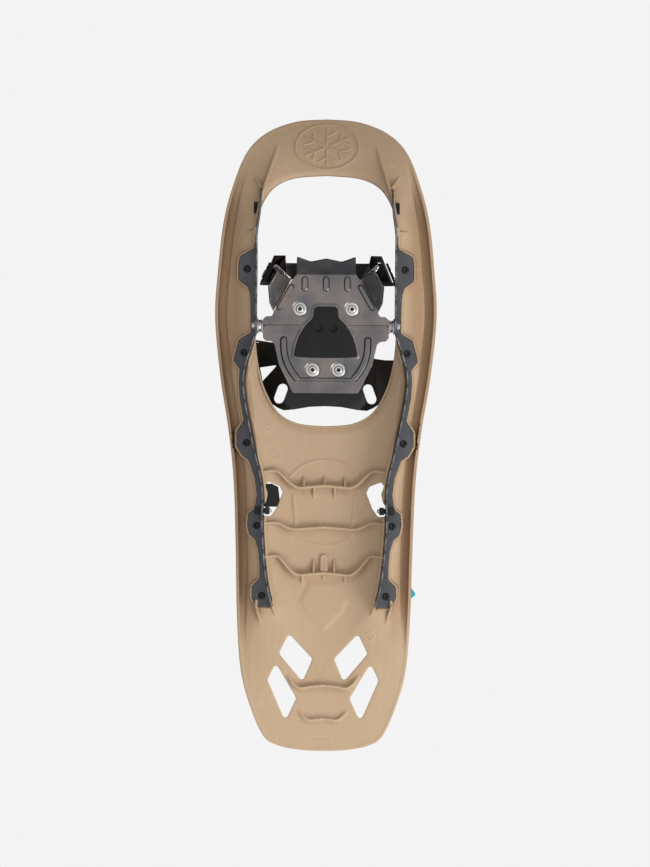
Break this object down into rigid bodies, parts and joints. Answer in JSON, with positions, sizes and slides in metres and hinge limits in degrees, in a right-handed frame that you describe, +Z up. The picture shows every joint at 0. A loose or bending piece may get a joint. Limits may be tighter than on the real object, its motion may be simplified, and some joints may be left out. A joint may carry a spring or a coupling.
{
  "type": "snowshoe",
  "caption": "Moulded plastic snowshoe with toothed steel side rails, a pivoting steel toe crampon under a strap binding, and a flip-up heel lift.",
  "frame": {"origin": "on the ground under the rail teeth, at the middle of the length and width", "axes": "+Y to the toe, +X to the wearer's right, +Z up"},
  "size_m": [0.213, 0.6086, 0.1439],
  "materials": {
    "deck_plastic": "moulded, satin, fine grain",
    "rail_steel": "dark powder coat",
    "crampon_steel": "stamped, semi-gloss",
    "bright_steel": "bright zinc plate",
    "rivet_steel": "black, satin",
    "black_plastic": "moulded, satin",
    "gloss_plastic": "moulded, glossy",
    "pad_rubber": "matt, fine grain",
    "strap_webbing": "woven webbing",
    "pull_rubber": "moulded teal rubber"
  },
  "bodies": {
    "root": {"deck": "deck_plastic", "rail_left": "rail_steel", "rail_right": "rail_steel", "rail_rivets": "rivet_steel", "rail_front_clips": "black_plastic", "pivot_bushings": "bright_steel", "heel_lift_clips": "black_plastic"},
    "binding": {"axle": "bright_steel", "axle_clips": "bright_steel", "toe_crampon": "crampon_steel", "crampon_pad": "pad_rubber", "crampon_screws": "bright_steel", "crampon_washers": "bright_steel", "binding_base": "black_plastic", "foot_pad": "pad_rubber", "toe_cradle": "gloss_plastic", "toe_strap": "strap_webbing", "toe_strap_rivets": "bright_steel", "toe_pull_tab": "pull_rubber", "toe_buckle_frame": "black_plastic", "toe_buckle_pin": "bright_steel", "instep_strap": "strap_webbing", "instep_strap_rivets": "bright_steel", "instep_pull_tab": "pull_rubber", "instep_buckle_frame": "black_plastic", "instep_buckle_pin": "bright_steel", "heel_strap": "strap_webbing", "heel_strap_rivets": "bright_steel", "heel_pull_tab": "pull_rubber", "heel_buckle_frame": "black_plastic", "heel_buckle_pin": "bright_steel"},
    "heel_lift": {"heel_lift_bail": "bright_steel", "heel_lift_rest": "black_plastic", "heel_lift_flip_tab": "gloss_plastic"},
    "toe_lever": {"toe_buckle_lever": "gloss_plastic"},
    "instep_lever": {"instep_buckle_lever": "gloss_plastic"},
    "heel_lever": {"heel_buckle_lever": "gloss_plastic"}
  },
  "joints": [
    {"name": "binding_pivot", "type": "hinge", "parent": "root", "child": "binding", "pos_m": [0, 0.104, 0.022], "axis": [-1, 0, 0], "range_deg": [0, 85]},
    {"name": "heel_lift_flip", "type": "hinge", "parent": "root", "child": "heel_lift", "pos_m": [0, -0.0735, 0.038], "axis": [1, 0, 0], "range_deg": [0, 88]},
    {"name": "toe_lever_open", "type": "hinge", "parent": "binding", "child": "toe_lever", "pos_m": [0.013, 0.1545, 0.1051], "axis": [0, 1, 0], "range_deg": [0, 100]},
    {"name": "instep_lever_open", "type": "hinge", "parent": "binding", "child": "instep_lever", "pos_m": [-0.00108, 0.06984, 0.1391], "axis": [-0.1483, 0.9889, 0], "range_deg": [0, 100]},
    {"name": "heel_lever_open", "type": "hinge", "parent": "binding", "child": "heel_lever", "pos_m": [-0.06469, -0.01391, 0.103], "axis": [0, 0, -1], "range_deg": [0, 100]}
  ]
}
